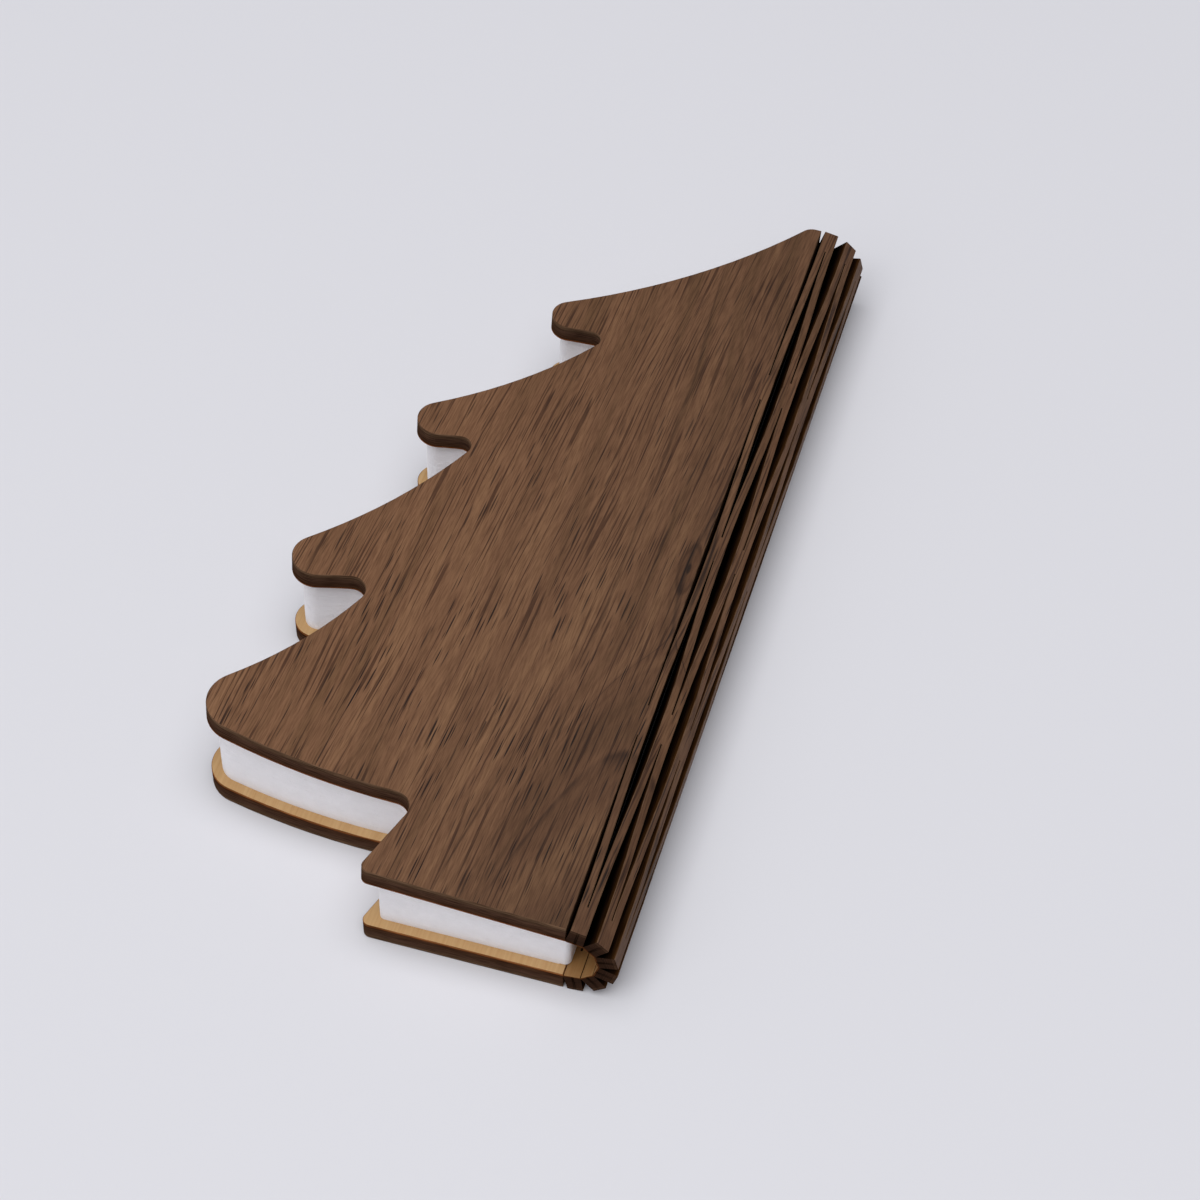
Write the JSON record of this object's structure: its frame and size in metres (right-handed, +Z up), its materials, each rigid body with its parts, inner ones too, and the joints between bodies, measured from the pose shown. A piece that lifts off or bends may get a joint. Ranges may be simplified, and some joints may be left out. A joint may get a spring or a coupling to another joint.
{
  "type": "folding book lamp",
  "caption": "Folding wooden book lamp: two half-tree covers on a slit, bendable spine, with white paper leaves that fan out round a light bar.",
  "frame": {"origin": "middle of the underside of the closed lamp's bounding box, on the surface that it lies on", "axes": "+X towards the spine, +Y along the spine from the base of the trunk to the tip of the tree, +Z up, out of the front cover"},
  "size_m": [0.0915, 0.195, 0.0244],
  "materials": {
    "walnut_board": "oiled walnut veneer on laser-cut board, burnt edges",
    "paper": "smooth white spun-bonded paper",
    "magnet": "bright nickel plate",
    "black_plastic": "satin moulded plastic",
    "diffuser": "milky plastic",
    "foam_tape": "soft foam",
    "circuit_board": "green solder resist",
    "led": "yellow phosphor gel",
    "battery_foil": "crimped foil pouch",
    "lead_sheath": "thin insulated wire",
    "socket_steel": "pressed steel",
    "glass": "clear glass tube"
  },
  "bodies": {
    "back_cover": {"back_cover": "walnut_board", "endpaper_back": "paper", "cover_magnets_back": "magnet"},
    "spine_row_01": {"hinge_link_01": "walnut_board", "page_leaf_01": "paper"},
    "spine_row_02": {"hinge_link_02": "walnut_board", "page_leaf_02": "paper"},
    "spine_row_03": {"hinge_link_03": "walnut_board", "page_leaf_03": "paper"},
    "spine_row_04": {"hinge_link_04": "walnut_board", "page_leaf_04": "paper"},
    "spine_row_05": {"hinge_link_05": "walnut_board", "page_leaf_05": "paper"},
    "spine_row_06": {"hinge_link_06": "walnut_board", "page_leaf_06": "paper", "light_bar_housing": "black_plastic", "light_bar_diffuser": "diffuser", "light_bar_base_cap": "black_plastic", "light_bar_tip_cap": "black_plastic", "light_bar_tapes": "foam_tape", "led_board": "circuit_board", "led_chips": "led", "battery_cell": "battery_foil", "internal_leads": "lead_sheath", "charging_board": "circuit_board", "charging_socket": "socket_steel", "charge_indicator": "diffuser", "reed_switch": "glass"},
    "spine_row_07": {"hinge_link_07": "walnut_board", "page_leaf_07": "paper"},
    "spine_row_08": {"hinge_link_08": "walnut_board", "page_leaf_08": "paper"},
    "spine_row_09": {"hinge_link_09": "walnut_board", "page_leaf_09": "paper"},
    "spine_row_10": {"hinge_link_10": "walnut_board", "page_leaf_10": "paper"},
    "spine_row_11": {"hinge_link_11": "walnut_board", "page_leaf_11": "paper"},
    "front_cover": {"front_cover": "walnut_board", "endpaper_front": "paper", "cover_magnets_front": "magnet", "switch_magnet": "magnet"}
  },
  "joints": [
    {"name": "fold_01", "type": "hinge", "parent": "back_cover", "child": "spine_row_01", "pos_m": [0.0361, 0, 0.00209], "axis": [0, 1, 0], "range_deg": [0, 16.51]},
    {"name": "fold_02", "type": "hinge", "parent": "spine_row_01", "child": "spine_row_02", "pos_m": [0.0382, 0, 0.00239], "axis": [0, 1, 0], "range_deg": [0, 33.02]},
    {"name": "fold_03", "type": "hinge", "parent": "spine_row_02", "child": "spine_row_03", "pos_m": [0.04014, 0, 0.00325], "axis": [0, 1, 0], "range_deg": [0, 33.02]},
    {"name": "fold_04", "type": "hinge", "parent": "spine_row_03", "child": "spine_row_04", "pos_m": [0.04176, 0, 0.00462], "axis": [0, 1, 0], "range_deg": [0, 33.02]},
    {"name": "fold_05", "type": "hinge", "parent": "spine_row_04", "child": "spine_row_05", "pos_m": [0.04294, 0, 0.00638], "axis": [0, 1, 0], "range_deg": [0, 33.02]},
    {"name": "fold_06", "type": "hinge", "parent": "spine_row_05", "child": "spine_row_06", "pos_m": [0.04359, 0, 0.0084], "axis": [0, 1, 0], "range_deg": [0, 33.02]},
    {"name": "fold_07", "type": "hinge", "parent": "spine_row_06", "child": "spine_row_07", "pos_m": [0.04365, 0, 0.01052], "axis": [0, 1, 0], "range_deg": [0, 33.02]},
    {"name": "fold_08", "type": "hinge", "parent": "spine_row_07", "child": "spine_row_08", "pos_m": [0.04313, 0, 0.01257], "axis": [0, 1, 0], "range_deg": [0, 33.02]},
    {"name": "fold_09", "type": "hinge", "parent": "spine_row_08", "child": "spine_row_09", "pos_m": [0.04206, 0, 0.0144], "axis": [0, 1, 0], "range_deg": [0, 33.02]},
    {"name": "fold_10", "type": "hinge", "parent": "spine_row_09", "child": "spine_row_10", "pos_m": [0.04053, 0, 0.01587], "axis": [0, 1, 0], "range_deg": [0, 33.02]},
    {"name": "fold_11", "type": "hinge", "parent": "spine_row_10", "child": "spine_row_11", "pos_m": [0.03865, 0, 0.01685], "axis": [0, 1, 0], "range_deg": [0, 33.02]},
    {"name": "fold_12", "type": "hinge", "parent": "spine_row_11", "child": "front_cover", "pos_m": [0.03658, 0, 0.01727], "axis": [0, 1, 0], "range_deg": [0, 16.51]}
  ],
  "couplings": [
    {"joint": "fold_02", "follows": "fold_01", "ratio": 2},
    {"joint": "fold_03", "follows": "fold_01", "ratio": 2},
    {"joint": "fold_04", "follows": "fold_01", "ratio": 2},
    {"joint": "fold_05", "follows": "fold_01", "ratio": 2},
    {"joint": "fold_06", "follows": "fold_01", "ratio": 2},
    {"joint": "fold_07", "follows": "fold_01", "ratio": 2},
    {"joint": "fold_08", "follows": "fold_01", "ratio": 2},
    {"joint": "fold_09", "follows": "fold_01", "ratio": 2},
    {"joint": "fold_10", "follows": "fold_01", "ratio": 2},
    {"joint": "fold_11", "follows": "fold_01", "ratio": 2},
    {"joint": "fold_12", "follows": "fold_01", "ratio": 1}
  ]
}
